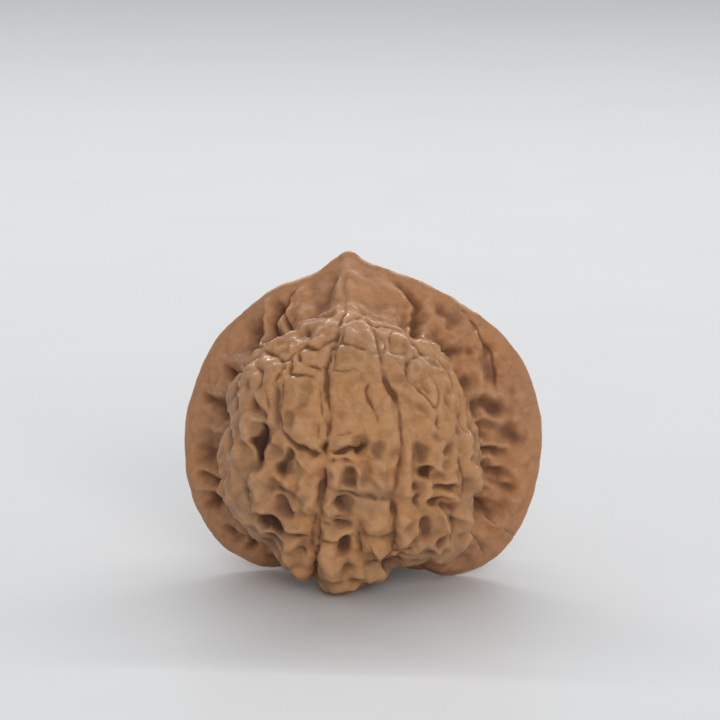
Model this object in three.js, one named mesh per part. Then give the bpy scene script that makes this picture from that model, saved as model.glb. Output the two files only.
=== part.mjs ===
// A walnut in its closed shell, standing on its base with the beak up.
// Millimetres, +Z up. X runs across the flange, which is the wide rim along the seam of the two valves, and Y runs
// through the two bellies. The origin is the middle of the base, on the surface that the nut stands on.
//
// The shell grew as one piece, so it is one closed skin. A cube of square grids is blown up to a sphere, which gives
// every vertex an angle round the face of the nut and a share of the way from the belly's crown to the seam. A
// profile, carried round that face, turns the two numbers into a point, and a shallow relief of furrows, plates and
// flange ribs is then raised along the normals.
import * as THREE from "three";
import { mergeVertices } from "three/addons/utils/BufferGeometryUtils.js";

// Driving dimensions.
const WIDTH = 44.6; // across the flange
const THICKNESS = 37; // from one belly's crown to the other's
const HEIGHT = 41; // from the base to the point of the beak
const FACE_CENTRE = { x: -0.6, z: 17 }; // where the axis through both crowns crosses the seam's plane

// The seam's outline, seen from the front as x and z, anticlockwise from the right. The beak is the high point.
const SEAM = [
  [22.3, 16.5], [21.2, 23.2], [18.6, 28.8], [14.2, 33.2], [8.2, 36.9], [3.6, 38.6], [0.4, 39.8], [-1.6, 41],
  [-3.4, 39.9], [-6.0, 38.0], [-10.4, 36.4], [-14.6, 33.2], [-18.4, 29.2], [-21.2, 22.8], [-22.3, 16.5],
  [-21.6, 10.2], [-18.6, 4.2], [-13.2, 0.9], [-7.5, 1.2], [-1.0, 2.2], [5.5, 1.2], [11.6, -0.3], [17.4, 2.0],
  [21.4, 8.6],
];
const BEAK_ANGLE = Math.atan2(HEIGHT - FACE_CENTRE.z, -1.6 - FACE_CENTRE.x);
const BEAK_SPREAD = 0.17; // radians either side of the beak that its ridge fills

// The belly, measured from the face's centre. It is a little squarer than an ellipse.
const BELLY_HALF_WIDTH = 15.6;
const BELLY_RISE = 16.6; // up to the shoulder under the beak
const BELLY_DROP = 17.5; // down past the base, which is then flattened
const BELLY_SQUARENESS = 2.3;

// The flange's half thickness where it leaves the belly, halfway out and close to the rim.
const FLANGE_ROOT = 3.7;
const FLANGE_MIDDLE = 2.7;
const FLANGE_RIM = 1.8;
const VALLEY_SET_BACK = 0.6; // how far the belly's wall curls under before the flange starts

// The relief, all heights in millimetres. Furrows are placed by their longitude on a belly, where 0 is the crown.
const FURROW_DEPTH = 0.65;
const FURROW_HALF_WIDTH = 1.2;
const FRONT_FURROWS = [-68, -45, -10, 18, 42, 66];
const BACK_FURROWS = [-67, -43, -19, 8, 38, 64];
const PLATE_HEIGHT = 0.25; // near the shoulder
const BUMP_HEIGHT = 0.5; // near the base, where the plates break up into bumps
const PLATE_LENGTH = 8; // along a furrow, from one cross crack to the next
const RIB_HEIGHT = 0.6;
const RIB_COUNT = 21; // round the whole flange
const GRID_SHIFT = 0.1; // moves grid lines from the flange to the longer belly

const GRID = 30; // squares along each edge of the cube
const { PI, abs, atan2, cos, exp, max, min, sin, tan } = Math;
const { smoothstep } = THREE.MathUtils;

// The seam's distance from the face's centre at any angle, read off a smooth closed curve through its points.
const seamRadius = (() => {
  const points = SEAM.map(([x, z]) => new THREE.Vector3(x - FACE_CENTRE.x, 0, z - FACE_CENTRE.z));
  const fine = new THREE.CatmullRomCurve3(points, true, "centripetal").getPoints(1440);
  const polar = fine.map((p) => [atan2(p.z, p.x), Math.hypot(p.x, p.z)]).sort((a, b) => a[0] - b[0]);
  return (angle) => {
    let next = polar.findIndex(([a]) => a >= angle);
    if (next < 0) next = 0;
    const [a0, r0] = polar.at(next - 1);
    const [a1, r1] = polar[next];
    const gap = (a1 - a0 + 2 * PI) % (2 * PI);
    const share = gap > 0 ? ((angle - a0 + 2 * PI) % (2 * PI)) / gap : 0;
    return r0 + (r1 - r0) * share;
  };
})();

// The belly's distance from the face's centre: a superellipse that drops further than it rises.
function bellyRadius(angle) {
  const across = abs(cos(angle)) / BELLY_HALF_WIDTH;
  const along = abs(sin(angle)) / (sin(angle) > 0 ? BELLY_RISE : BELLY_DROP);
  return (across ** BELLY_SQUARENESS + along ** BELLY_SQUARENESS) ** (-1 / BELLY_SQUARENESS);
}

// 1 on the beak's ridge, falling to 0 on either side of it.
function beakShare(angle) {
  const turn = atan2(sin(angle - BEAK_ANGLE), cos(angle - BEAK_ANGLE));
  return exp(-((turn / BEAK_SPREAD) ** 2));
}

// Control points of the profile at one angle, from the crown out to the rim: distance from the crown's axis, and
// height above the seam's plane.
function profilePoints(angle) {
  const seam = seamRadius(angle);
  const belly = bellyRadius(angle);
  const crown = THICKNESS / 2;
  const widest = crown * (0.45 - 0.1 * sin(angle));
  const valley = min(belly - VALLEY_SET_BACK, seam - 0.6);
  const beak = beakShare(angle);
  const ridge = (share) => belly + (seam - belly) * share;
  const mix = (plain, onRidge) => plain + (onRidge - plain) * beak;
  return [
    [0, crown * 1.015],
    [0.34 * belly, crown * 0.97],
    [0.64 * belly, crown * 0.86],
    [0.88 * belly, widest + (crown - widest) * 0.5],
    [mix(1.02 * belly, 0.98 * belly), mix(widest, widest + 1.5)],
    [mix(max(belly, valley), ridge(0.25)), mix(widest * 0.55 + 1, 6.2)],
    [mix(valley, ridge(0.5)), mix(FLANGE_ROOT, 4.4)],
    [mix((valley + seam) / 2, ridge(0.75)), mix(FLANGE_MIDDLE, 3)],
    [seam - 0.8, FLANGE_RIM],
    [seam + 0.4, 0],
  ];
}

// A uniform cubic B-spline through the profile. It is level at the crown and square to the seam at the rim, because
// the points either side of the two ends mirror each other.
function profileAt(angle, share) {
  const points = profilePoints(angle);
  const spans = points.length - 1;
  const mirrored = (i) => {
    if (i < 0) return [-points[-i][0], points[-i][1]];
    if (i > spans) return [points[2 * spans - i][0], -points[2 * spans - i][1]];
    return points[i];
  };
  const span = min(spans - 1, Math.floor(share * spans));
  const t = share * spans - span;
  const weights = [(1 - t) ** 3, 3 * t ** 3 - 6 * t ** 2 + 4, -3 * t ** 3 + 3 * t ** 2 + 3 * t + 1, t ** 3];
  return [0, 1].map((k) => weights.reduce((sum, w, i) => sum + (w * mirrored(span + i - 1)[k]) / 6, 0));
}

// Where a direction from the middle of the nut meets the skin: its angle round the face, its share of the way from
// the crown to the rim, and the valve, -1 for the front and 1 for the back.
function skinPlace(direction) {
  const fromCrown = Math.acos(min(1, abs(direction.y) / direction.length())) / (PI / 2);
  return {
    angle: atan2(direction.z, direction.x),
    share: fromCrown - GRID_SHIFT * sin(PI * fromCrown),
    valve: Math.sign(direction.y),
  };
}

function smoothPoint({ angle, share, valve }) {
  const [out, height] = profileAt(angle, share);
  return new THREE.Vector3(
    FACE_CENTRE.x + out * cos(angle),
    valve * height,
    FACE_CENTRE.z + out * sin(angle),
  );
}

// How far the skin stands off the smooth form: furrows that run from beak to base, plates between them that bulge
// and are parted by cross cracks, and ribs with hollows between them on the flange.
function relief(point, { angle, share, valve }) {
  const onBelly = 1 - smoothstep(share, 0.44, 0.58);
  const onFlange = smoothstep(share, 0.64, 0.74) * (1 - smoothstep(share, 0.86, 0.97));
  const belowBeak = 1 - 0.85 * smoothstep(point.z, 31, 37);
  const furrows = valve < 0 ? FRONT_FURROWS : BACK_FURROWS;

  const wander = 3 * sin(point.z * 0.33 + 2 * valve) + 1.5 * sin(point.z * 0.9 + valve);
  const longitude = THREE.MathUtils.radToDeg(atan2(point.x, abs(point.y))) + wander;
  const reach = THREE.MathUtils.degToRad(Math.hypot(point.x, point.y));
  const toFurrow = min(...furrows.map((l) => abs(longitude - l))) * reach;
  const furrow = -FURROW_DEPTH * exp(-((toFurrow / FURROW_HALF_WIDTH) ** 2));

  const column = furrows.filter((l) => longitude > l).length;
  const bulge = PLATE_HEIGHT + (BUMP_HEIGHT - PLATE_HEIGHT) * (1 - smoothstep(point.z, 6, 24));
  const along = (2 * PI * (point.z + 1.7 * column * column)) / PLATE_LENGTH + 0.6 * sin(0.5 * longitude * reach);
  const plate = bulge * cos(along) * (1 - exp(-((toFurrow / FURROW_HALF_WIDTH) ** 2)));

  const ribs = RIB_COUNT * angle + 2 * valve + 1.6 * sin(3 * angle) + 0.8 * sin(7 * angle + valve);
  const rib = RIB_HEIGHT * (cos(ribs) - 0.3);
  return belowBeak * (onBelly * (furrow + plate) + onFlange * rib);
}

// Spreads the cube's grid lines at equal angles, so that the squares stay even once they are on the sphere.
function spreadEvenly(position) {
  for (let i = 0; i < position.count; i++) {
    position.setXYZ(i, ...[position.getX(i), position.getY(i), position.getZ(i)].map((v) => tan((v * PI) / 4)));
  }
}

function walnutGeometry() {
  const cube = new THREE.BoxGeometry(2, 2, 2, GRID, GRID, GRID);
  cube.deleteAttribute("normal");
  cube.deleteAttribute("uv");
  const shell = mergeVertices(cube, 1e-4);
  const position = shell.getAttribute("position");
  spreadEvenly(position);

  const vectorAt = (attribute, i) => new THREE.Vector3().fromBufferAttribute(attribute, i);
  const places = Array.from({ length: position.count }, (_, i) => skinPlace(vectorAt(position, i)));
  places.forEach((place, i) => position.setXYZ(i, ...smoothPoint(place).toArray()));
  shell.computeVertexNormals();
  const normal = shell.getAttribute("normal");

  // Raise the relief, then flatten the few lowest bumps, which are what the nut stands on.
  places.forEach((place, i) => {
    const point = vectorAt(position, i);
    point.addScaledVector(vectorAt(normal, i), relief(point, place));
    position.setXYZ(i, point.x, point.y, max(point.z, 0));
  });
  shell.deleteAttribute("normal");

  // Bring the finished skin to its driving size, centred over the origin.
  shell.computeBoundingBox();
  const { min: low, max: high } = shell.boundingBox;
  shell.translate(-(low.x + high.x) / 2, -(low.y + high.y) / 2, -low.z);
  shell.scale(WIDTH / (high.x - low.x), THICKNESS / (high.y - low.y), HEIGHT / (high.z - low.z));
  return shell;
}

const walnut = new THREE.Mesh(
  walnutGeometry(),
  new THREE.MeshStandardMaterial({ color: 0xa9794f, roughness: 0.5, metalness: 0 }),
);
walnut.name = "walnut";

const part = new THREE.Group();
part.add(walnut);
export default part;
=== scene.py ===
# %% [markdown]
# # A walnut in its closed shell
# This file makes one whole walnut, the broad-flanged kind that people polish in the hand and collect. It
# stands on its base with the beak up. The shell grew as one piece, so it is one closed skin here too.
#
# The work goes as a carver's would: first the smooth form, then the relief that is cut into it, then the
# colour and the gloss, and last the floor and the light. Lengths are in millimetres until the skin goes
# into its mesh, because that is how a walnut is measured. Blender's own unit is the metre.

import math

import bpy
import numpy as np
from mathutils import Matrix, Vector


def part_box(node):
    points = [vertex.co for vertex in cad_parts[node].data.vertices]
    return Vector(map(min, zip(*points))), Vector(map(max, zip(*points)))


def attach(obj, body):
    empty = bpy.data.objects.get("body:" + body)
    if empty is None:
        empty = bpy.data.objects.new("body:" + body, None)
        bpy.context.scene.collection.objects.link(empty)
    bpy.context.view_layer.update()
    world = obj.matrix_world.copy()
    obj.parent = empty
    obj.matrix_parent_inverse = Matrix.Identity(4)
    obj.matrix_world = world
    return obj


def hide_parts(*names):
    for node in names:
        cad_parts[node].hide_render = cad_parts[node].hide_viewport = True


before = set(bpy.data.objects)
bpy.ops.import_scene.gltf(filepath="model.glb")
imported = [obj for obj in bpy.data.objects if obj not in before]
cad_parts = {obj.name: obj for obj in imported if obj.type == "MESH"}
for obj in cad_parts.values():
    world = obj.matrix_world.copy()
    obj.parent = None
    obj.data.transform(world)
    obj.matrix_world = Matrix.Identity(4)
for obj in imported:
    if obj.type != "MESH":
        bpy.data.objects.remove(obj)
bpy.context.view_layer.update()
MM = 0.001

low, high = (np.array(corner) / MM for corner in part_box("walnut"))
WIDTH, THICKNESS, HEIGHT = high - low
print(f"shell {WIDTH:.1f} mm across the flange, {THICKNESS:.1f} through the bellies, {HEIGHT:.1f} high")

# %% [markdown]
# ## The eye
# The camera comes first, because the marks of the front are drawn as they show from where it stands. It
# looks from a little above and a little to the right, through a long lens, as a small thing is looked at on
# a table.

# %% The camera
EYE = np.array([39.8, -383.0, 116.0])
AIM = np.array([-0.28, 0.0, 27.3])
LENS = 160.1

camera = bpy.data.objects.new("camera", bpy.data.cameras.new("camera"))
bpy.context.scene.collection.objects.link(camera)
camera.location = Vector(EYE * MM)
camera.rotation_euler = Vector(AIM - EYE).to_track_quat("-Z", "Y").to_euler()
camera.data.lens = LENS
camera.data.clip_start = 0.01
bpy.context.scene.camera = camera
print(f"the eye is {np.linalg.norm(EYE - AIM):.0f} mm away, {EYE[2]:.0f} mm above the floor")

# %% [markdown]
# ## An even grid over a closed skin
# A sphere ruled by longitude and latitude crowds its lines at two poles, and the relief would look pinched
# there. A cube has no poles. Each of its six sides is a square grid, a function of two parameters. When the
# cube is blown up to a ball, the squares stay nearly even all over, above all if the lines are first spread
# at equal angles.

# %% The cube of grids
GRID = 128  # squares along each edge


def cube_of_grids(squares):
    """Directions and quads of a cube blown up to a sphere.

    On each side one coordinate is plus or minus 1. The other two are the tangents of equal angles from -45
    to 45 degrees. Points that two or three sides share are kept once.
    """
    lines = np.tan(np.linspace(-math.pi / 4, math.pi / 4, squares + 1))
    across, up = np.meshgrid(lines, lines, indexing="ij")
    corner = np.arange(squares)[:, None] * (squares + 1) + np.arange(squares)
    quad = np.stack([corner, corner + squares + 1, corner + squares + 2, corner + 1], -1).reshape(-1, 4)
    points, quads = [], []
    for axis in range(3):
        for side in (-1, 1):
            square = np.empty((squares + 1, squares + 1, 3))
            square[..., axis] = side
            square[..., (axis + 1) % 3] = across
            square[..., (axis + 2) % 3] = up
            quads.append((quad if side > 0 else quad[:, ::-1]) + len(points) * (squares + 1) ** 2)
            points.append(square.reshape(-1, 3))
    points = np.concatenate(points)
    kept, place = np.unique(np.round(points * 1e6).astype(np.int64), axis=0, return_inverse=True)
    directions = kept / 1e6
    directions /= np.linalg.norm(directions, axis=1, keepdims=True)
    return directions, place.reshape(-1)[np.concatenate(quads)]


directions, quads = cube_of_grids(GRID)
print(f"{len(directions)} points in {len(quads)} squares")

# %% [markdown]
# ## The seam and the belly, seen from the front
# Two valves meet at the seam, and the shell spreads there into a flange. The seam's outline gives this kind
# of walnut its look: nearly round, with shoulders that run up to a beak, and a base that is drawn in a
# little in the middle. The belly's outline stands inside it, bumpy below where it comes down to the table.
# Each is a closed curve through a few dozen points, in mm across and up.

# %% The two outlines
FACE_X, FACE_Z = -0.6, 17.0  # where the axis through both crowns crosses the seam's plane
SEAM = np.array([
    (22.3, 17.0), (21.6, 23.2), (19.1, 28.8), (14.5, 33.3), (8.2, 36.9), (3.6, 38.6), (0.4, 39.8),
    (-1.6, 41.0), (-3.4, 39.9), (-6.0, 38.0), (-10.4, 36.4), (-14.6, 33.2), (-18.4, 29.2), (-21.2, 22.8),
    (-22.3, 16.5), (-21.6, 10.2), (-18.6, 4.2), (-13.2, 0.9), (-7.5, 1.2), (-1.0, 2.2), (5.5, 1.2),
    (11.6, 0.4), (16.8, 2.9), (20.7, 8.8),
])
BELLY = np.array([
    (15.0, 17.0), (14.7, 20.5), (13.7, 24.0), (12.6, 26.6), (10.6, 29.5), (8.4, 31.5), (5.8, 32.9),
    (2.4, 34.2), (-1.5, 34.8), (-5.9, 33.4), (-9.0, 32.0), (-11.8, 30.2), (-14.2, 27.8), (-15.6, 24.5),
    (-16.2, 21.0), (-16.4, 17.0), (-15.8, 11.8), (-13.6, 8.2), (-10.4, 5.2), (-7.9, 3.7), (-6.2, 2.3),
    (-4.9, 2.4), (-3.6, 0.5), (-1.6, 0.3), (0.6, 1.1), (2.0, 1.9), (3.7, 2.4), (4.7, 3.4), (6.4, 3.9),
    (8.4, 4.5), (11.2, 4.7), (12.6, 6.2), (13.0, 8.4), (13.5, 10.6), (14.5, 14.0),
])


def smooth_loop(points, steps):
    """A closed curve through the points: between two of them it is the cubic whose slope at each end is
    half the step from the point before to the point after (a Catmull-Rom spline)."""
    t = (np.arange(steps) / steps)[None, :, None]
    before, start, end, after = (np.roll(points, shift, 0)[:, None] for shift in (1, 0, -1, -2))
    squared = 2 * before - 5 * start + 4 * end - after
    cubed = 3 * start - before - 3 * end + after
    return 0.5 * (2 * start + (end - before) * t + squared * t**2 + cubed * t**3).reshape(-1, 2)


def outline_radius(outline, angle):
    """An outline's distance from the face's centre at each angle: the curve's points are turned into angles
    and distances, and the distance is read between the two nearest angles."""
    x, z = (smooth_loop(outline, 60) - (FACE_X, FACE_Z)).T
    at = np.arctan2(z, x)
    order = np.argsort(at)
    return np.interp(angle, at[order], np.hypot(x, z)[order], period=2 * math.pi)


print(f"the belly is {np.ptp(BELLY[:, 0]):.1f} mm wide, {np.ptp(BELLY[:, 0]) / WIDTH:.0%} of the flange")

# %% [markdown]
# ## The smooth form
# The shape between the belly's crown and the seam is a profile, carried round the face. At each angle it
# has ten control points. They follow the crown, the belly's side, the valley behind it and the flange, and
# a B-spline runs past them as a bent batten would. Under the beak the valley fills up to a ridge.

# %% The profile carried round the face
BEAK_ANGLE = math.atan2(HEIGHT - FACE_Z, -1.6 - FACE_X)
ROOF_SPREAD, RIDGE_SPREAD = 0.42, 0.12  # radians either side of the beak that its roof and its ridge fill
ROOF_SHARE = 0.7
FLANGE_ROOT, FLANGE_MIDDLE, FLANGE_RIM = 4.4, 2.6, 1.3  # the flange's half thickness, going outwards
VALLEY_SET_BACK = 0.2


def profile_points(angle):
    """Ten control points at each angle, as (angles, 10, 2): distance from the crown's axis, and height
    above the seam's plane. Each height is mixed towards the ridge's own near the beak."""
    seam, belly = outline_radius(SEAM, angle), outline_radius(BELLY, angle)
    crown = np.full_like(angle, THICKNESS / 2)
    widest = crown * (0.45 - 0.02 * np.sin(angle))
    valley = np.minimum(belly - VALLEY_SET_BACK, seam - 0.6)
    turn = np.arctan2(np.sin(angle - BEAK_ANGLE), np.cos(angle - BEAK_ANGLE))
    roof, crest = np.exp(-((turn / ROOF_SPREAD) ** 2)), np.exp(-((turn / RIDGE_SPREAD) ** 2))
    beak = ROOF_SHARE * roof + (1 - ROOF_SHARE) * crest

    def mix(plain, on_ridge):
        return plain + (on_ridge - plain) * beak

    def ridge(share):
        return belly + (seam - belly) * share

    rows = [
        (0 * crown, crown * 1.015),
        (0.34 * belly, crown * 0.97),
        (0.64 * belly, crown * 0.86),
        (0.88 * belly, widest + (crown - widest) * 0.5),
        (mix(1.02 * belly, 0.98 * belly), mix(widest, widest + 1.5)),
        (mix(np.maximum(belly, valley), ridge(0.25)), mix(widest * 0.55 + 1, 6.2)),
        (mix(valley, ridge(0.5)), mix(FLANGE_ROOT, 4.4)),
        (mix((valley + seam) / 2, ridge(0.75)), mix(FLANGE_MIDDLE, 3.0)),
        (seam - 0.8, FLANGE_RIM + 0 * crown),
        (seam + 0.4, 0 * crown),
    ]
    return np.stack([np.stack(row, -1) for row in rows], 1)


def smooth_form(angle, share, valve):
    """A uniform cubic B-spline through the profile at each angle, at a share of the way from crown to seam.
    The points past both ends mirror those before them, so it is level at the crown and square to the
    seam."""
    points = profile_points(angle)
    mirrored = np.concatenate([points[:, 1:2] * (-1, 1), points, points[:, -2:-1] * (1, -1)], 1)
    spans = points.shape[1] - 1
    span = np.clip((share * spans).astype(int), 0, spans - 1)
    t = share * spans - span
    weights = ((1 - t) ** 3, 3 * t**3 - 6 * t**2 + 4, -3 * t**3 + 3 * t**2 + 3 * t + 1, t**3)
    row = np.arange(len(angle))
    out, rise = sum(w[:, None] * mirrored[row, span + i] for i, w in enumerate(weights)).T / 6
    return np.stack([FACE_X + out * np.cos(angle), valve * rise, FACE_Z + out * np.sin(angle)], 1)


GRID_SHIFT = 0.1  # moves grid lines from the flange to the longer belly
angle = np.arctan2(directions[:, 2], directions[:, 0])
from_crown = np.arccos(np.abs(directions[:, 1])) / (math.pi / 2)
share = from_crown - GRID_SHIFT * np.sin(math.pi * from_crown)
valve = np.sign(directions[:, 1])
form = smooth_form(angle, share, valve)
print("the smooth form measures", np.round(np.ptp(form, axis=0), 1), "mm")


def point_normals(points):
    """The mean of the normals of the squares round each point. A square's normal is the cross product of
    its diagonals, so a large square counts for more."""
    a, b, c, d = (points[quads[:, i]] for i in range(4))
    square = np.cross(c - a, d - b)
    total = np.stack([
        np.bincount(quads.ravel(), np.repeat(square[:, axis], 4), len(points)) for axis in range(3)
    ], 1)
    return total / np.linalg.norm(total, axis=1, keepdims=True)


form_normals = point_normals(form)
print(f"{np.mean(np.sum(form_normals * (form - (0, 0, FACE_Z)), 1) > 0):.0%} of the skin faces outwards")

# %% [markdown]
# ## Marks on a drawing sheet
# A carver pricks a drawing through onto the work. The same is done here. A sheet stands in the seam's
# plane, ruled in mm across and up from the middle of the base, and each furrow, crack and pit is drawn on
# it as a few points of its middle line. A line from the eye through the sheet meets the skin where the mark
# belongs. From then on the mark is a curve in space, and its width is measured from that curve, so it also
# looks right from the side. The back valve gets the same marks turned half round and bent, because the two
# sides of a walnut are alike but never equal.

# %% From the sheet to the skin
forward = (AIM - EYE) / np.linalg.norm(AIM - EYE)
right = np.cross(forward, (0, 0, 1))
right /= np.linalg.norm(right)
up = np.cross(right, forward)
REACH = np.linalg.norm(EYE)


def on_sheet(points):
    """Where points show on the sheet: the slopes of their lines of sight, times the distance to the base's
    middle. The height is stretched by one over the cosine of the eye's tilt, because the sheet stands
    upright."""
    sight = np.vstack([points, (0, 0, 0)]) - EYE
    ahead = sight @ forward
    across, height = sight @ right / ahead, sight @ up / ahead / up[2]
    return REACH * np.stack([across[:-1] - across[-1], height[:-1] - height[-1]], 1)


FRONT = np.flatnonzero((valve <= 0) & (np.sum(form_normals * (EYE - form), 1) > 0))
front_sheet = on_sheet(form[FRONT])
nearness = -(form[FRONT] - EYE) @ forward


def smooth_path(points, step=0.6):
    """An open curve through the points, in steps of about half a millimetre (a Catmull-Rom spline whose
    first and last points are doubled)."""
    points = np.array(points, float)
    if len(points) == 1:
        return points
    ends = np.concatenate([points[:1], points, points[-1:]])
    pieces = []
    for before, start, end, after in zip(ends, ends[1:], ends[2:], ends[3:]):
        t = np.linspace(0, 1, max(2, round(np.linalg.norm(end - start) / step)), endpoint=False)[:, None]
        squared = 2 * before - 5 * start + 4 * end - after
        cubed = 3 * start - before - 3 * end + after
        pieces.append(0.5 * (2 * start + (end - before) * t + squared * t**2 + cubed * t**3))
    return np.concatenate([*pieces, points[-1:]])


def lift(points):
    """Carries points of the sheet to the skin: the nearest front point of the form there, and then a step
    in its tangent plane to make up the rest. Where two layers show at one place, the nearer one is
    taken."""
    lifted = []
    for place in smooth_path(points):
        gap = np.hypot(*(front_sheet - place).T)
        i = np.argmin(gap - 0.05 * nearness * (gap < 0.35))
        start, normal = form[FRONT[i]], form_normals[FRONT[i]]
        across, height = place - front_sheet[i]
        step = across * right + height * up[2] * up
        slide = np.clip(-(step @ normal) / min(forward @ normal, -0.2), -1, 1)
        lifted.append(start + step + slide * forward)
    return np.array(lifted)


def turn_over(path):
    """The same mark for the back valve: turned half round the upright axis, and bent a few mm sideways and
    up and down so that the two sides don't match. Each point is then set back on the skin."""
    x, y, z = path.T
    bent = np.stack([2 * FACE_X - x + 1.2 * np.sin(0.21 * z + 1.0), -y, z + 1.0 * np.sin(0.25 * x + 0.6)], 1)
    back = np.flatnonzero(valve >= 0)
    nearest = back[np.argmin(np.linalg.norm(form[back][None] - bent[:, None], axis=2), axis=1)]
    gap = bent - form[nearest]
    normal = form_normals[nearest]
    gap -= np.sum(gap * normal, 1)[:, None] * normal
    return form[nearest] + gap * np.minimum(1, 1 / np.maximum(np.linalg.norm(gap, axis=1), 1e-6))[:, None]


def distance_to(points, path):
    """Each point's distance from a path of straight steps, the offset from the path to the point, and how
    far along the path that place is from the nearer end."""
    if len(path) == 1:
        offset = points - path[0]
        return np.linalg.norm(offset, axis=1), offset, np.zeros(len(points))
    start, along = path[:-1], np.diff(path, axis=0)
    gap = points[:, None] - start
    share_along = np.clip(np.sum(gap * along, 2) / np.maximum(np.sum(along**2, 1), 1e-9), 0, 1)
    offset = gap - share_along[..., None] * along
    distance = np.linalg.norm(offset, axis=2)
    nearest = np.argmin(distance, axis=1)
    row = np.arange(len(points))
    length = np.linalg.norm(along, axis=1)
    travelled = (np.cumsum(length) - length)[nearest] + share_along[row, nearest] * length[nearest]
    to_end = np.minimum(travelled, length.sum() - travelled)
    return distance[row, nearest], offset[row, nearest], to_end


def near(points, path, reach):
    """Indices of the points inside the path's box grown by the reach, to save measuring the rest."""
    return np.flatnonzero(np.all((points > path.min(0) - reach) & (points < path.max(0) + reach), axis=1))


print(f"{len(FRONT)} points of the form face the eye, {nearness.min():.0f} mm away at the nearest")

# %% [markdown]
# ## What is drawn
# Each mark is a half width, a depth and the points of its middle line, all in mm. Furrows run down the
# belly from the beak. Cracks part the plates and are the narrowest. Pits are short and deep, like funnels.
# The flange's hollows are broad. A swell is the opposite of a hollow: it is raised instead of cut, for a
# bump or a rib.

# %% The furrows that run from the beak to the base
FURROWS = [
    # down the middle, in two strands that part and join again
    (0.24, 0.85, [(-2.2, 34.0), (-2.9, 32.5), (-3.5, 30.3), (-4.6, 27.2), (-4.8, 25.5), (-4.3, 20.6)]),
    (0.22, 0.60, [(-2.3, 32.2), (-2.9, 30.3), (-3.5, 28.6), (-3.9, 26.0)]),
    (0.20, 0.35, [(-5.2, 24.0), (-5.3, 21.5), (-5.0, 19.6)]),
    (0.30, 0.90, [(-4.2, 20.2), (-4.3, 18.5), (-4.7, 16.6)]),
    (0.22, 1.20, [(-5.0, 13.2), (-5.1, 11.0), (-5.3, 9.6), (-5.4, 8.2)]),
    (0.18, 0.35, [(-5.8, 7.6), (-6.3, 5.5), (-6.7, 2.8)]),
    (0.18, 0.50, [(-5.3, 8.0), (-5.5, 5.5), (-5.8, 2.5), (-5.9, 0.5), (-5.7, -1.4)]),
    # right of the middle
    (0.24, 0.45, [(1.3, 32.0), (1.9, 30.4), (2.1, 28.2), (2.6, 26.4)]),
    (0.50, 1.20, [(2.7, 26.2), (3.2, 24.4), (3.8, 23.1), (4.6, 21.5)]),
    (0.28, 0.35, [(4.7, 21.5), (4.9, 19.0), (4.9, 16.5), (4.6, 13.5), (4.3, 11.0), (3.9, 9.8)]),
    (0.20, 1.10, [(3.6, 9.4), (3.9, 8.2), (3.95, 6.8)]),
    (0.18, 0.45, [(3.9, 6.8), (3.9, 4.8), (3.8, 3.0)]),
    # left of the middle
    (0.90, 0.65, [(-10.9, 24.5), (-11.1, 22.5), (-11.0, 20.5), (-10.9, 18.6)]),
    (0.35, 0.45, [(-12.6, 23.2), (-12.3, 22.0), (-12.1, 20.8)]),
]
print(f"{len(FURROWS)} furrows, the deepest {max(depth for _, depth, _ in FURROWS)} mm")

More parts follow.
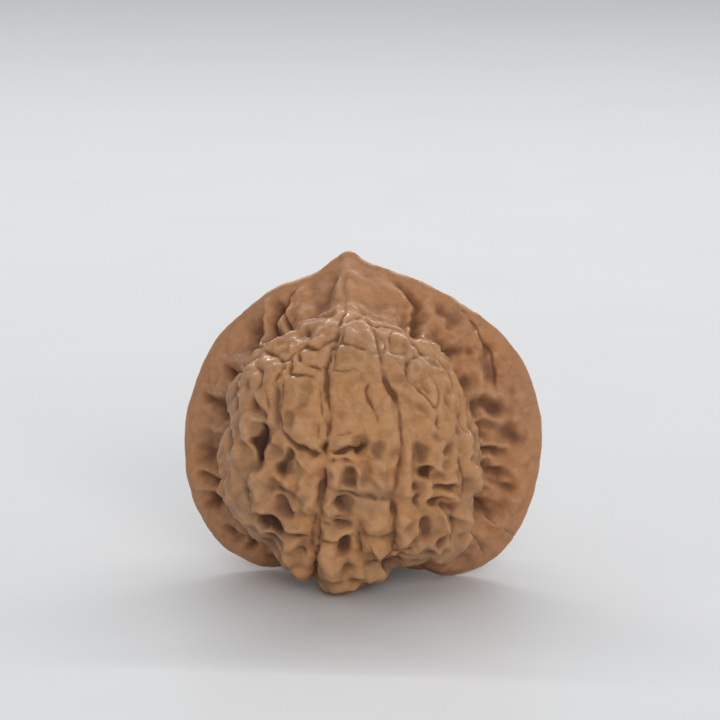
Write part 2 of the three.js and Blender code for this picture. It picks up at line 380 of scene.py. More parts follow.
# %% The cracks between the plates
CRACKS = [
    # across the middle
    (0.32, 1.20, [(-4.4, 15.7), (-3.0, 15.5), (-1.6, 15.7), (-0.4, 15.7)]),
    (0.26, 0.50, [(-4.9, 14.4), (-3.5, 14.4), (-2.4, 14.3), (-1.2, 14.0)]),
    (0.28, 0.85, [(-10.4, 18.0), (-9.5, 17.0), (-8.4, 16.1), (-7.3, 15.8), (-6.3, 15.1), (-5.2, 15.2)]),
    (0.24, 0.35, [(-10.1, 25.2), (-10.4, 22.8), (-10.5, 20.0), (-10.4, 18.0)]),
    (0.20, 0.25, [(-5.5, 19.2), (-5.8, 17.5), (-6.0, 16.3)]),
    (0.20, 0.20, [(-3.8, 17.2), (-2.7, 17.5), (-1.5, 17.9), (-0.2, 17.9)]),
    # the small plates of the left shoulder
    (0.24, 0.50, [(-12.6, 28.5), (-11.5, 28.3), (-10.6, 27.8), (-10.0, 27.5), (-9.2, 28.1), (-8.3, 28.5)]),
    (0.24, 0.55, [(-8.3, 28.5), (-7.2, 29.1), (-5.8, 29.0), (-4.9, 29.6), (-4.2, 30.0), (-2.8, 31.3)]),
    (0.22, 0.40, [(-8.1, 28.7), (-8.2, 27.3), (-7.4, 26.8), (-6.4, 26.6), (-5.5, 26.4), (-5.0, 26.8)]),
    (0.24, 0.45, [(-9.1, 28.0), (-9.2, 26.8), (-9.4, 25.9), (-8.6, 25.6), (-7.2, 25.5), (-6.2, 25.2)]),
    (0.24, 0.40, [(-10.0, 27.4), (-10.2, 26.5), (-10.8, 25.5), (-11.4, 24.2)]),
    (0.24, 0.50, [(-13.0, 27.9), (-13.9, 27.5), (-14.8, 26.7), (-15.6, 25.8)]),
    (0.22, 0.35, [(-13.5, 26.9), (-12.9, 26.0), (-13.2, 24.6), (-13.6, 23.6)]),
    # the fine cracks under the beak
    (0.20, 0.30, [(-4.0, 26.0), (-3.0, 25.9), (-1.8, 26.1), (-0.9, 26.1)]),
    (0.26, 0.30, [(-3.4, 30.1), (-2.0, 29.7), (0.0, 29.0), (1.9, 27.9)]),
    (0.22, 0.35, [(-2.2, 32.2), (-1.2, 32.9), (-0.2, 33.2)]),
    (0.20, 0.30, [(1.3, 31.9), (2.1, 30.6), (2.9, 29.5), (2.7, 28.4), (2.2, 28.0)]),
    (0.20, 0.30, [(3.7, 31.4), (3.4, 30.2), (3.5, 28.9), (3.9, 28.4), (5.6, 28.3)]),
    (0.22, 0.30, [(0.2, 33.2), (1.3, 32.1), (2.6, 32.1), (3.8, 31.5), (5.5, 30.8)]),
    (0.24, 0.50, [(5.5, 31.1), (6.4, 30.8), (7.5, 30.6)]),
    (0.24, 0.40, [(5.9, 30.3), (6.6, 29.3), (7.5, 28.5), (8.3, 28.1)]),
    # the plates of the right side
    (0.26, 0.35, [(1.0, 24.8), (0.4, 23.5), (0.6, 22.6), (1.2, 21.4), (1.7, 20.2), (1.8, 19.2)]),
    (0.26, 0.40, [(7.2, 28.0), (6.0, 27.6), (5.6, 26.0), (5.7, 25.0)]),
    (0.24, 0.28, [(5.8, 24.7), (7.9, 23.1), (8.9, 21.7), (9.5, 21.4), (9.9, 22.0), (10.0, 23.6)]),
    (0.20, 0.25, [(9.0, 25.4), (9.6, 24.4), (9.7, 23.2)]),
    (0.22, 0.25, [(9.3, 27.8), (10.3, 26.6), (11.3, 25.0), (11.8, 23.4)]),
    (0.32, 0.50, [(9.7, 20.2), (9.6, 19.2), (9.9, 18.4)]),
    (0.24, 0.30, [(12.6, 21.4), (12.4, 20.0), (12.7, 18.9), (13.0, 18.3)]),
    (0.24, 0.35, [(12.3, 14.8), (12.6, 13.0), (12.8, 11.5), (12.7, 10.2)]),
    (0.28, 0.50, [(6.5, 11.6), (6.8, 10.8), (7.3, 10.3), (6.8, 9.6), (6.6, 9.0), (7.2, 8.3)]),
    # the bumps of the lower half
    (0.20, 0.35, [(-3.6, 10.3), (-2.2, 10.1), (-0.8, 9.6), (1.0, 9.5), (3.4, 9.3)]),
    (0.24, 0.35, [(-11.4, 10.8), (-10.5, 10.7), (-9.5, 10.3), (-8.9, 9.8)]),
    (0.20, 0.28, [(-0.3, 6.2), (-0.6, 4.5), (-0.3, 3.0), (0.5, 2.0), (1.6, 1.5), (2.7, 1.8), (3.6, 2.8)]),
    (0.24, 0.35, [(3.8, 2.9), (4.9, 2.75), (5.8, 2.9), (6.6, 3.2)]),
    (0.26, 0.40, [(-9.3, 4.8), (-8.4, 4.6), (-7.0, 4.7)]),
    (0.26, 0.30, [(-10.0, 1.9), (-9.0, 1.4), (-8.0, 1.2), (-7.0, 1.5)]),
    (0.28, 0.60, [(11.2, 7.4), (11.4, 6.3), (11.3, 4.4)]),
    (0.24, 0.60, [(9.7, 8.6), (10.7, 8.4), (11.8, 8.1)]),
    (0.24, 0.50, [(8.8, 10.9), (10.0, 11.0), (11.0, 10.9), (12.2, 10.9)]),
    (0.24, 0.35, [(-4.3, 7.2), (-3.4, 6.9), (-2.4, 6.9)]),
    (0.20, 0.25, [(-5.1, 3.9), (-4.2, 4.0), (-3.2, 3.9)]),
    (0.24, 0.30, [(-2.9, -1.9), (-1.6, -1.6), (-0.4, -1.3), (0.6, -1.4)]),
    # on the flange: a fan at the lower right, along the right rim, and the arc on the beak's left
    (0.22, 0.25, [(15.5, 7.2), (16.8, 6.6), (18.3, 5.3), (19.2, 4.7)]),
    (0.22, 0.25, [(13.1, 5.3), (14.3, 4.4), (15.2, 3.1), (15.5, 1.9)]),
    (0.24, 0.34, [(12.2, 34.6), (13.7, 33.1), (15.3, 30.5), (16.6, 28.4), (17.1, 26.4), (17.4, 23.6)]),
    (0.28, 0.60, [(-8.6, 36.8), (-9.4, 35.9), (-10.1, 34.8), (-10.1, 33.6), (-9.7, 32.6), (-9.2, 31.3)]),
]
print(f"{len(CRACKS)} cracks, the narrowest {2 * min(half for half, _, _ in CRACKS)} mm wide")

# %% The pits
PITS = [
    # at the corners of the middle plates
    (0.36, 1.60, [(-4.9, 15.8), (-4.5, 16.3)]),
    (0.42, 1.40, [(-0.9, 15.6), (-0.2, 15.9), (0.1, 16.5)]),
    (0.50, 0.40, [(1.5, 15.3), (2.1, 15.2)]),
    (0.30, 0.90, [(-1.8, 12.9), (-1.8, 12.0), (-1.6, 11.2)]),
    (0.36, 1.10, [(-2.8, 9.0), (-2.5, 8.3), (-2.3, 7.7)]),
    (0.55, 0.22, [(-1.0, 8.5), (0.3, 8.3), (1.7, 8.2), (2.6, 8.0)]),
    (0.24, 1.10, [(-3.3, 6.1), (-2.5, 6.2), (-1.9, 6.1)]),
    (0.26, 1.10, [(-2.3, 4.1), (-2.5, 3.4), (-2.4, 2.8)]),
    (0.36, 0.30, [(-2.1, 1.4), (-2.5, 0.4)]),
    (0.40, 0.35, [(2.8, 5.1), (3.1, 5.0)]),
    (0.36, 0.30, [(6.1, 5.9), (6.1, 5.2)]),
    (0.45, 0.35, [(0.2, 14.0), (0.6, 12.5), (1.0, 11.2), (1.8, 10.2), (3.4, 9.9)]),
    # left
    (0.45, 1.10, [(-9.3, 15.4), (-9.9, 14.4), (-10.5, 13.5)]),
    (0.60, 0.35, [(-10.7, 13.2), (-11.6, 11.0)]),
    (0.55, 1.60, [(-12.7, 18.2), (-13.0, 17.0), (-13.5, 15.6), (-13.6, 14.8)]),
    (1.10, 0.60, [(-11.3, 15.6), (-10.6, 15.0)]),
    (0.65, 0.60, [(-8.9, 14.1), (-8.5, 13.8)]),
    (0.45, 0.80, [(-14.1, 21.8), (-13.4, 21.1), (-12.7, 20.3)]),
    (0.40, 0.40, [(-8.3, 11.7), (-8.3, 11.1)]),
    (0.75, 0.60, [(-10.2, 9.4), (-10.0, 8.2)]),
    (0.80, 0.30, [(-7.8, 7.0), (-7.3, 6.6)]),
    (0.65, 1.20, [(-12.4, 6.4), (-11.6, 6.2), (-11.0, 5.5)]),
    (0.70, 0.70, [(-11.5, 4.4), (-11.4, 3.6)]),
    (0.50, 0.45, [(-7.9, 3.0), (-7.5, 2.8)]),
    # right
    (0.60, 0.70, [(7.4, 15.9), (7.2, 15.2), (7.5, 14.6)]),
    (0.32, 1.30, [(7.5, 13.0), (8.3, 13.0)]),
    (0.30, 0.45, [(8.8, 12.4), (10.2, 12.5)]),
    (0.28, 0.40, [(6.6, 13.9), (6.9, 13.7)]),
    (0.40, 0.50, [(11.3, 16.3), (10.8, 15.4)]),
    (0.32, 1.10, [(8.8, 9.1), (9.5, 8.9)]),
    (0.85, 0.75, [(8.0, 6.5), (8.3, 5.4), (8.4, 4.7)]),
    (0.45, 0.80, [(10.4, 4.0), (9.5, 2.9), (8.5, 2.2)]),
    (0.50, 0.80, [(2.9, 1.2), (3.6, 1.7), (4.4, 1.7), (5.3, 1.9)]),
    (0.80, 0.30, [(6.2, 20.4), (6.9, 20.2)]),
    (0.60, 0.25, [(10.8, 21.0), (11.0, 20.6)]),
    # small ones on the shoulder
    (0.28, 0.45, [(-6.9, 31.4), (-6.8, 30.2)]),
    (0.28, 0.35, [(-4.3, 31.1), (-4.5, 30.5)]),
]
print(f"{len(PITS)} pits, the widest {2 * max(half for half, _, _ in PITS)} mm")

# %% The hollows of the flange
FLANGE_HOLLOWS = [
    # behind the belly's upper edge
    (0.45, 0.55, [(-12.6, 29.6), (-11.0, 30.8), (-8.6, 32.2), (-6.6, 32.9), (-4.2, 33.4)]),
    (0.35, 0.18, [(-0.4, 33.9), (1.6, 33.2), (3.6, 32.6), (5.4, 31.8)]),
    # under the beak and on its left
    (0.35, 0.35, [(-2.4, 38.4), (-2.2, 36.0), (-2.5, 34.2)]),
    (0.70, 0.50, [(-3.8, 38.2), (-4.6, 36.0), (-4.8, 34.2)]),
    (0.60, 1.60, [(-10.9, 34.8), (-11.2, 33.4), (-11.5, 32.0), (-11.8, 30.8)]),
    (0.60, 0.90, [(-11.3, 31.1), (-10.0, 31.0)]),
    (1.10, 1.50, [(-14.3, 31.7), (-14.0, 31.2)]),
    (0.60, 1.30, [(-17.3, 26.1), (-16.8, 25.6), (-16.0, 25.5)]),
    (0.80, 0.50, [(-15.6, 29.6), (-14.4, 29.2), (-13.6, 28.9)]),
    # the left flange
    (1.50, 1.60, [(-20.0, 15.4), (-18.8, 14.6)]),
    (0.45, 1.20, [(-20.8, 12.6), (-19.2, 11.6), (-17.8, 11.2)]),
    (0.90, 1.60, [(-19.3, 8.9), (-17.9, 9.3)]),
    (0.60, 1.20, [(-17.8, 20.6), (-17.4, 19.2), (-17.2, 18.0)]),
    (0.40, 0.40, [(-21.0, 17.9), (-19.0, 17.7), (-17.6, 17.3)]),
    (0.50, 1.00, [(-20.0, 22.6), (-18.6, 22.0), (-17.6, 21.8)]),
    (0.45, 0.70, [(-14.3, 4.2), (-14.2, 3.0)]),
    (0.50, 0.70, [(-17.4, 5.8), (-16.6, 5.0), (-15.6, 4.6)]),
    # on the beak's right
    (0.42, 0.95, [
        (4.0, 38.4), (5.2, 37.3), (6.3, 36.2), (7.2, 34.6), (7.1, 33.2), (6.9, 32.0), (6.8, 30.8),
    ]),
    (0.40, 0.25, [(5.6, 34.6), (5.5, 33.0), (5.6, 31.4)]),
    (0.90, 0.60, [(10.3, 34.4), (11.2, 33.6), (12.2, 33.0)]),
    (0.90, 0.45, [(9.4, 30.4), (10.4, 29.7)]),
    # the right flange, from the top down
    (1.00, 0.70, [(15.6, 29.0), (16.2, 27.6), (16.5, 26.2), (16.5, 24.8)]),
    (0.90, 0.95, [(11.2, 28.8), (12.3, 28.6)]),
    (0.70, 0.70, [(12.8, 28.6), (14.0, 28.6)]),
    (0.35, 0.60, [(9.8, 28.8), (10.0, 28.2), (10.6, 27.6)]),
    (0.95, 1.15, [(12.0, 25.9), (12.7, 25.1), (13.6, 24.6)]),
    (0.80, 0.50, [(12.7, 23.9), (13.1, 23.2)]),
    (0.80, 1.40, [(16.1, 22.0), (16.8, 21.4), (17.4, 20.7)]),
    (0.60, 0.90, [(14.9, 21.6), (15.0, 20.4)]),
    (0.70, 1.20, [(14.6, 18.7), (15.0, 18.2), (15.3, 17.7)]),
    (0.90, 1.00, [(15.6, 19.0), (17.0, 18.9), (18.3, 18.2), (19.3, 17.2)]),
    (0.32, 1.10, [(15.3, 16.0), (16.3, 15.6), (17.3, 15.6), (18.3, 15.9)]),
    (0.50, 0.50, [(13.8, 14.6), (14.8, 14.7)]),
    (0.80, 1.10, [(15.0, 13.4), (16.2, 12.9), (17.6, 12.6)]),
    (0.50, 0.90, [(15.4, 11.9), (17.0, 11.6), (18.9, 10.7)]),
    (1.10, 2.20, [(14.3, 9.8), (14.0, 8.9), (15.5, 7.9)]),
    (0.45, 0.30, [(13.4, 6.9), (15.5, 6.0), (17.0, 5.4)]),
    (0.80, 0.80, [(12.9, 2.8), (12.2, 1.7)]),
]
print(f"{len(FLANGE_HOLLOWS)} hollows, the deepest {max(depth for _, depth, _ in FLANGE_HOLLOWS)} mm")

# %% The swells, which are bumps and ribs
SWELLS = [
    # the belly's upper edge
    (0.40, 0.30, [(-12.2, 28.8), (-10.0, 30.4), (-6.9, 31.8), (-4.5, 32.2)]),
    (0.35, 0.30, [(-9.2, 28.8), (-7.2, 29.4), (-4.6, 30.0)]),
    (0.35, 0.25, [(-15.4, 25.6), (-13.6, 26.6)]),
    (0.70, 0.30, [(3.8, 30.6), (5.0, 30.0)]),
    # the ribs between the hollows
    (0.60, 0.45, [(-12.0, 35.2), (-12.4, 33.0), (-12.6, 31.0), (-13.0, 29.6)]),
    (0.90, 0.35, [(-7.6, 36.4), (-8.0, 34.0), (-7.6, 32.6)]),
    (1.00, 0.35, [(8.4, 35.2), (8.6, 33.2), (8.3, 31.4)]),
    (0.90, 0.35, [(9.4, 32.2), (10.6, 31.4), (11.8, 30.4)]),
    (0.90, 0.25, [(12.6, 32.0), (13.8, 30.4)]),
    (0.95, 0.45, [(11.4, 27.3), (13.0, 26.4), (14.4, 25.6), (16.2, 24.2)]),
    (0.80, 0.35, [(13.8, 23.5), (15.4, 23.2), (17.2, 22.9)]),
    (0.60, 0.80, [(14.9, 17.0), (16.4, 16.7), (18.2, 16.2)]),
    (0.60, 0.50, [(14.6, 20.0), (16.0, 20.1), (18.0, 19.8)]),
    (0.70, 0.50, [(14.8, 14.9), (16.6, 14.4), (19.0, 13.2)]),
    (0.50, 0.35, [(13.2, 7.7), (15.4, 7.0), (17.6, 6.0)]),
    (0.70, 0.40, [(-21.0, 18.6), (-19.2, 18.7), (-17.6, 18.6)]),
    (0.60, 0.40, [(-20.8, 11.2), (-19.0, 10.8), (-17.4, 10.6)]),
    # the bumps of the left side
    (1.10, 0.80, [(-14.6, 19.0), (-14.4, 17.4)]),
    (0.70, 0.60, [(-11.3, 17.2), (-11.0, 16.8)]),
    (1.10, 0.80, [(-13.5, 12.6), (-13.2, 10.2)]),
    (1.10, 0.70, [(-8.2, 14.2), (-6.8, 13.4)]),
    (0.80, 0.60, [(-9.9, 11.6), (-9.5, 11.4)]),
    (1.40, 0.80, [(-7.4, 11.2), (-6.9, 9.2)]),
    (0.90, 0.70, [(-13.2, 8.3), (-11.8, 8.4)]),
    (1.00, 0.70, [(-9.0, 5.8), (-7.6, 5.8)]),
    (0.90, 0.60, [(-9.1, 3.6), (-8.8, 2.0)]),
    (0.90, 0.60, [(-7.5, 0.6), (-7.2, -0.6)]),
    # the bumps down the middle
    (1.00, 0.70, [(-3.9, 13.2), (-3.4, 11.4)]),
    (0.50, 0.50, [(-0.7, 13.2), (-0.6, 11.2)]),
    (1.40, 0.80, [(2.6, 13.8), (2.8, 11.6)]),
    (0.80, 0.60, [(-4.1, 8.8), (-4.0, 7.4)]),
    (0.80, 0.60, [(-4.4, 4.6), (-3.4, 4.6)]),
    (1.20, 0.80, [(-4.0, 2.6), (-3.9, 0.4)]),
    (1.20, 0.60, [(-3.0, -1.6), (-1.6, -1.4)]),
    (1.30, 0.70, [(1.2, 6.3), (2.2, 6.2)]),
    (1.50, 1.00, [(1.2, 3.7), (1.6, 3.3)]),
    (1.20, 0.60, [(-0.2, 0.4), (1.9, 0.2)]),
    # the bumps of the right side
    (0.70, 0.50, [(5.7, 16.0), (5.7, 10.0)]),
    (0.95, 0.70, [(5.1, 7.0), (5.2, 4.2)]),
    (0.35, 0.40, [(6.9, 7.0), (6.9, 3.6)]),
    (0.70, 0.70, [(10.1, 7.4), (10.1, 5.2)]),
    (0.80, 0.80, [(12.3, 7.6), (12.1, 4.2)]),
    (0.80, 0.70, [(13.7, 13.2), (13.6, 11.2)]),
    (0.60, 0.50, [(10.4, 12.1), (11.6, 12.0)]),
    (0.55, 0.50, [(10.6, 9.8), (11.8, 9.7)]),
    (0.45, 0.40, [(9.0, 13.6), (10.4, 13.2)]),
    (0.80, 0.50, [(9.2, 16.0), (9.8, 15.4)]),
    (0.60, 0.50, [(8.3, 12.0), (8.2, 9.6)]),
    (1.00, 0.60, [(13.2, 17.2), (13.2, 15.8)]),
    (0.26, 0.30, [(-4.8, 15.0), (-2.6, 14.9), (-0.6, 14.8), (0.8, 14.6)]),
    (0.22, 0.25, [(3.0, 2.2), (3.8, 2.45), (4.8, 2.4), (5.7, 2.5)]),
]
print(f"{len(SWELLS)} swells, the highest {max(height for _, height, _ in SWELLS)} mm")

# %% [markdown]
# ## Tools of the relief
# A few small functions do all the cutting. A smooth step fades one thing into another. Ripples make the
# unevenness that no drawing shows. Another carries every mark to both valves. The section of a mark says how
# deep it is at a distance from its middle line. The last one finds how far each point is from the nearest
# mark of all.

# %% Tools of the relief


def smoothstep(value, start, end):
    """0 before start, 1 after end, and between them t squared times (3 - 2 t), where t is the share of the
    way."""
    t = np.clip((value - start) / (end - start), 0, 1)
    return t * t * (3 - 2 * t)


def ripples(points, size, seed, waves=24):
    """Smooth unevenness, mostly between -1 and 1: the sum of plane waves in random directions, whose
    wavelengths are about the size."""
    draw = np.random.default_rng(seed)
    heading = draw.normal(size=(waves, 3))
    heading /= np.linalg.norm(heading, axis=1, keepdims=True)
    heading *= (2 * math.pi / size * draw.uniform(0.7, 1.4, waves))[:, None]
    phase = draw.uniform(0, 2 * math.pi, waves)
    return np.sin(points @ heading.T + phase).sum(1) / math.sqrt(waves)


def both_valves(marks):
    """Every mark as half width, depth and its path in space, for the front and turned over for the back."""
    found = []
    for half_width, depth, points in marks:
        path = lift(points)
        found.append((half_width, depth, path))
        found.append((half_width, depth, turn_over(path)))
    return found


def section_of(points, marks, steepness, dish=0.0, dish_width=2.2, taper=0.0):
    """How deep the marks cut at each point: depth times exp(-(distance / half width)^steepness). A dish is
    the share of the depth that is a wide bowl around the mark. Over the taper's length both ends rise to a
    third of the depth. Where marks cross, the cube root of the sum of their cubes counts, which is hardly
    more than the deeper one and has no crease."""
    cut = np.zeros(len(points))
    for half_width, depth, path in marks:
        close = near(points, path, 3 * half_width * (dish_width if dish else 1))
        distance, _, to_end = distance_to(points[close], path)
        distance = distance / half_width
        shape = (1 - dish) * np.exp(-(distance**steepness)) + dish * np.exp(-((distance / dish_width) ** 2))
        if taper:
            shape *= np.clip(0.33 + 0.67 * to_end / taper, 0, 1)
        cut[close] += (depth * shape) ** 3
    return np.cbrt(cut)


def nearest_mark(points, marks, reach):
    """Each point's distance from the nearest mark, up to the reach, and its offset from there."""
    distance = np.full(len(points), float(reach))
    offset = np.zeros_like(points)
    for _, _, path in marks:
        close = near(points, path, reach)
        there, gap, _ = distance_to(points[close], path)
        nearer = there < distance[close]
        distance[close[nearer]] = there[nearer]
        offset[close[nearer]] = gap[nearer]
    return distance, offset


print("a smooth step from 0 to 1, by quarters:", smoothstep(np.linspace(0, 1, 5), 0, 1).round(2))

# %% [markdown]
# ## Cutting the relief
# Before anything is cut, the points of the grid are drawn in towards the cracks, so that a crack gets twice
# as many points across it as a plain place does. Then the broad shapes are raised and sunk: the bumps, the
# plates that belly out between the cracks, and the flange's hollows. The surface is measured again, and the
# fine cuts go in square to it. Last it is worn down a little, as hands wear a shell: every point goes
# towards the mean of its neighbours. The cracks and the seam keep their edges, and so, nearly, do the small
# plates under the beak.

# %% Draw the grid in towards the cracks
DRAW_IN, DRAW_REACH = 0.5, 0.8  # the share of the way that a point moves, and how near it has to be
MARK_REACH = 3.0  # how far from a mark its distance is still measured
WOBBLE, WOBBLE_SIZE = 0.2, 2.4  # how far the marks stray from their drawn lines, and over what length
DEEP_PIT = 0.4  # pits deeper than this part the plates, as cracks do

furrows, cracks, pits = both_valves(FURROWS), both_valves(CRACKS), both_valves(PITS)
hollows, swells = both_valves(FLANGE_HOLLOWS), both_valves(SWELLS)
distance, offset = nearest_mark(form, furrows + cracks, MARK_REACH)
skin = form - DRAW_IN * offset * np.exp(-((distance / DRAW_REACH) ** 2))[:, None]
wobble = WOBBLE * np.stack([ripples(skin, WOBBLE_SIZE, seed) for seed in (1, 2, 3)], 1)
deep_pits = [mark for mark in pits if mark[1] > DEEP_PIT]
crack_distance = nearest_mark(skin + 0.5 * wobble, furrows + cracks + deep_pits, MARK_REACH)[0]
print(f"{np.mean(distance < DRAW_REACH):.0%} of the points lie close to a crack or furrow")

# %% Broad shapes
SEAM_BEAD, BEAD_HALF_WIDTH = 0.36, 0.36  # the fine ridge where the two valves join
PILLOW, PILLOW_LOW, PILLOW_EDGE = 0.34, 0.60, 1.1  # how far plates bulge, how much more low down, edge width
BUMPS_LOW = 0.45  # the share by which bumps are higher low down
HOLLOW_DEPTH = 1.35  # scales the drawn depths of the flange's hollows
DIMPLE_DEPTH, WRINKLE_HEIGHT = 0.48, 0.38
WAVE_HEIGHT, WAVELET_HEIGHT = 0.16, 0.08  # slow and quick unevenness of the whole skin

on_belly = 1 - smoothstep(share, 0.44, 0.58)
seam_gap = outline_radius(SEAM, angle) - np.hypot(form[:, 0] - FACE_X, form[:, 2] - FACE_Z)
off_rim = smoothstep(seam_gap, 0.1, 1.3)
off_beak = 1 - 0.8 * smoothstep(form[:, 2], 33, 37)
low_down = 1 - smoothstep(form[:, 2], 13, 22)
rough = 0.2 + 0.8 * off_rim * off_beak

pillow = (PILLOW + PILLOW_LOW * low_down) * (1 - np.exp(-crack_distance / PILLOW_EDGE)) * on_belly
bumps = section_of(skin + wobble, swells, 2.2) * (1 + BUMPS_LOW * low_down)
hollow_cut = section_of(skin + 0.6 * wobble, hollows, 1.8, 0.45, 2.0) * HOLLOW_DEPTH * off_rim
uneven = WAVE_HEIGHT * ripples(skin, 7, 11) + WAVELET_HEIGHT * ripples(skin, 3.0, 12)
undrawn = smoothstep(crack_distance, 1.0, 2.5) * on_belly + (1 - on_belly)
wrinkles = np.abs(ripples(skin, 5.5, 31)) + 0.5 * np.abs(ripples(skin, 3.2, 32)) - 1.0
dimples = smoothstep(ripples(skin, 2.7, 41), 0.1, 1.6) * smoothstep(crack_distance, 0.1, 0.9) * on_belly
dimples *= 1 - 0.5 * smoothstep(form[:, 2], 24, 30)
seam_bead = SEAM_BEAD * np.exp(-((form[:, 1] / BEAD_HALF_WIDTH) ** 2)) * (seam_gap < 1)
broad = bumps + pillow + seam_bead - hollow_cut - DIMPLE_DEPTH * dimples
broad += (uneven + WRINKLE_HEIGHT * wrinkles * undrawn) * rough
print(f"the broad shapes run from {broad.min():.1f} to {broad.max():.1f} mm")

# %% Fine cuts
CUT_DEPTH = 1.2  # scales the drawn depths of all three kinds of cut
FURROW_SHARE, CRACK_SHARE = 0.75, 1.15  # and these scale two of them once more
FURROW_SLIM, CRACK_SLIM = 0.75, 0.68  # the share of the drawn width that is cut
FURROW_TAPER, CRACK_TAPER = 1.2, 0.9
COARSE_GRAIN, FINE_GRAIN = 0.07, 0.03
LINE_SLIM, LINE_FULL_DEPTH = 0.50, 0.35  # a cut this deep or more has its line in full colour


def slim(marks, share):
    """The same marks with their half widths cut down to a share."""
    return [(share * half_width, depth, path) for half_width, depth, path in marks]


pit_cut = section_of(skin + wobble, pits, 1.6, 0.3, 2.8)
furrow_cut = section_of(skin + 0.6 * wobble, slim(furrows, FURROW_SLIM), 1.5, 0.25, 3.0, FURROW_TAPER)
crack_cut = section_of(skin + 0.5 * wobble, slim(cracks, CRACK_SLIM), 1.5, 0.2, 3.0, CRACK_TAPER)
fine = CUT_DEPTH * np.maximum(pit_cut, np.maximum(FURROW_SHARE * furrow_cut, CRACK_SHARE * crack_cut))
grain = (COARSE_GRAIN * ripples(skin, 1.5, 21) + FINE_GRAIN * ripples(skin, 0.8, 22, 32)) * rough

# Each cut also gets a dark line in its colour: partly dirt in the crack, partly painted shade in the crease
thin = [(half_width, min(1, depth / LINE_FULL_DEPTH), path) for half_width, depth, path in furrows + cracks]
crack_line = section_of(skin + 0.5 * wobble, slim(thin, LINE_SLIM), 1.5, taper=CRACK_TAPER)

skin = skin + form_normals * broad[:, None]
skin = skin + point_normals(skin) * (grain - fine)[:, None]
print(f"the deepest cut is {fine.max():.1f} mm")

# %% Wear it down
WEAR = 0.5  # the share of the way to the mean of the neighbours
SEAM_LINE_HALF_WIDTH = 0.35
KEPT_UNDER_BEAK = 0.85  # the share of the wear that the small plates under the beak are spared


def relaxed(points, rounds):
    """The points after each has moved to the mean of the squares round it, so many times."""
    count = np.bincount(quads.ravel(), minlength=len(points))[:, None]
    for _ in range(rounds):
        middle = points[quads].mean(1)
        points = np.stack([
            np.bincount(quads.ravel(), np.repeat(middle[:, axis], 4), len(points)) for axis in range(3)
        ], 1) / count
    return points


normals = point_normals(skin)
seam_line = np.exp(-((form[:, 1] / SEAM_LINE_HALF_WIDTH) ** 2)) * (seam_gap < 1.5)
under_beak = KEPT_UNDER_BEAK * smoothstep(form[:, 2], 22, 28)
sharp = np.maximum(np.maximum(crack_line, seam_line), under_beak)
wear = WEAR * np.sum((relaxed(skin, 2) - skin) * normals, 1) * (1 - sharp)
skin = skin + normals * wear[:, None]
print(f"wear takes up to {-wear.min():.2f} mm off the crests")

# %% Set it on the floor
sides = np.ptp(skin, axis=0)
skin[:, 2] = np.maximum(skin[:, 2], 0)
lowest, highest = skin.min(0), skin.max(0)
skin = (skin - (lowest + highest) / 2 * (1, 1, 0) - lowest * (0, 0, 1)) * (high - low) / (highest - lowest)
print("the skin measured", sides.round(2), "mm, and", np.ptp(skin, axis=0).round(2), "once it was set down")

# %% [markdown]
# ## Where the colour will settle
# Oil from the hands and old stain gather in the hollows, and the crests are rubbed pale and glossy, above
# all in the upper half. The colour here also stands in for light: painted shade darkens the hollows, and
# painted light brightens the crests. So the skin itself says how hollow each place is. The mesh is relaxed
# as for the wear, which fills hollows and takes crests down, and what was gained or lost is the measure. A
# few rounds find the cracks, and many rounds find the valleys. The results are kept on the mesh as
# attributes, for the material to read.

# %% Hollowness
FEW_ROUNDS, MANY_ROUNDS = 6, 60

normals = point_normals(skin)
close_hollow = np.sum((relaxed(skin, FEW_ROUNDS) - skin) * normals, 1)
wide_hollow = np.sum((relaxed(skin, MANY_ROUNDS) - skin) * normals, 1)
print("hollowness in mm, close", np.percentile(close_hollow, (1, 50, 99)).round(2), end=" ")
print("wide", np.percentile(wide_hollow, (1, 50, 99)).round(2))

# %% The mesh


def make_mesh(name, points, quads, attributes):
    """A smooth mesh object at the origin whose vertices are the points, given in mm."""
    mesh = bpy.data.meshes.new(name)
    mesh.vertices.add(len(points))
    mesh.vertices.foreach_set("co", (points * MM).astype(np.float32).ravel())
    mesh.loops.add(quads.size)
    mesh.loops.foreach_set("vertex_index", quads.astype(np.int32).ravel())
    mesh.polygons.add(len(quads))
    mesh.polygons.foreach_set("loop_start", np.arange(0, quads.size, 4, dtype=np.int32))
    mesh.polygons.foreach_set("use_smooth", np.ones(len(quads), bool))
    mesh.update(calc_edges=True)
    mesh.validate()
    for key, values in attributes.items():
        attribute = mesh.attributes.new(key, "FLOAT", "POINT")
        attribute.data.foreach_set("value", values.astype(np.float32))
    piece = bpy.data.objects.new(name, mesh)
    bpy.context.scene.collection.objects.link(piece)
    return piece


polish = (1 - smoothstep(close_hollow, -0.17, 0.0)) * (0.2 + 0.8 * smoothstep(skin[:, 2], 12, 26))
# A pale broken line along the seam near the beak: partly wear, partly a painted highlight; it also raises
# the gloss
worn_and_highlit_seam = seam_line * smoothstep(skin[:, 2], 29, 36) * smoothstep(ripples(skin, 4.0, 51), -1.0, 0.4)
shell = make_mesh("walnut_shell", skin, quads, {
    "hollow_close": np.clip(close_hollow / 0.5, -1, 1),
    "hollow_wide": np.clip(wide_hollow / 1.2, -1, 1),
    "pit": np.clip(pit_cut / 1.1, 0, 1),
    "crack_line": crack_line,
    "flange": smoothstep(share, 0.5, 0.7),
    "dimple": dimples,
    "worn_and_highlit_seam": worn_and_highlit_seam,
    "polish": np.maximum(polish, worn_and_highlit_seam),
})
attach(shell, "root")
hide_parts("walnut")
print(f"{shell.name} has {len(quads) * 2} triangles")
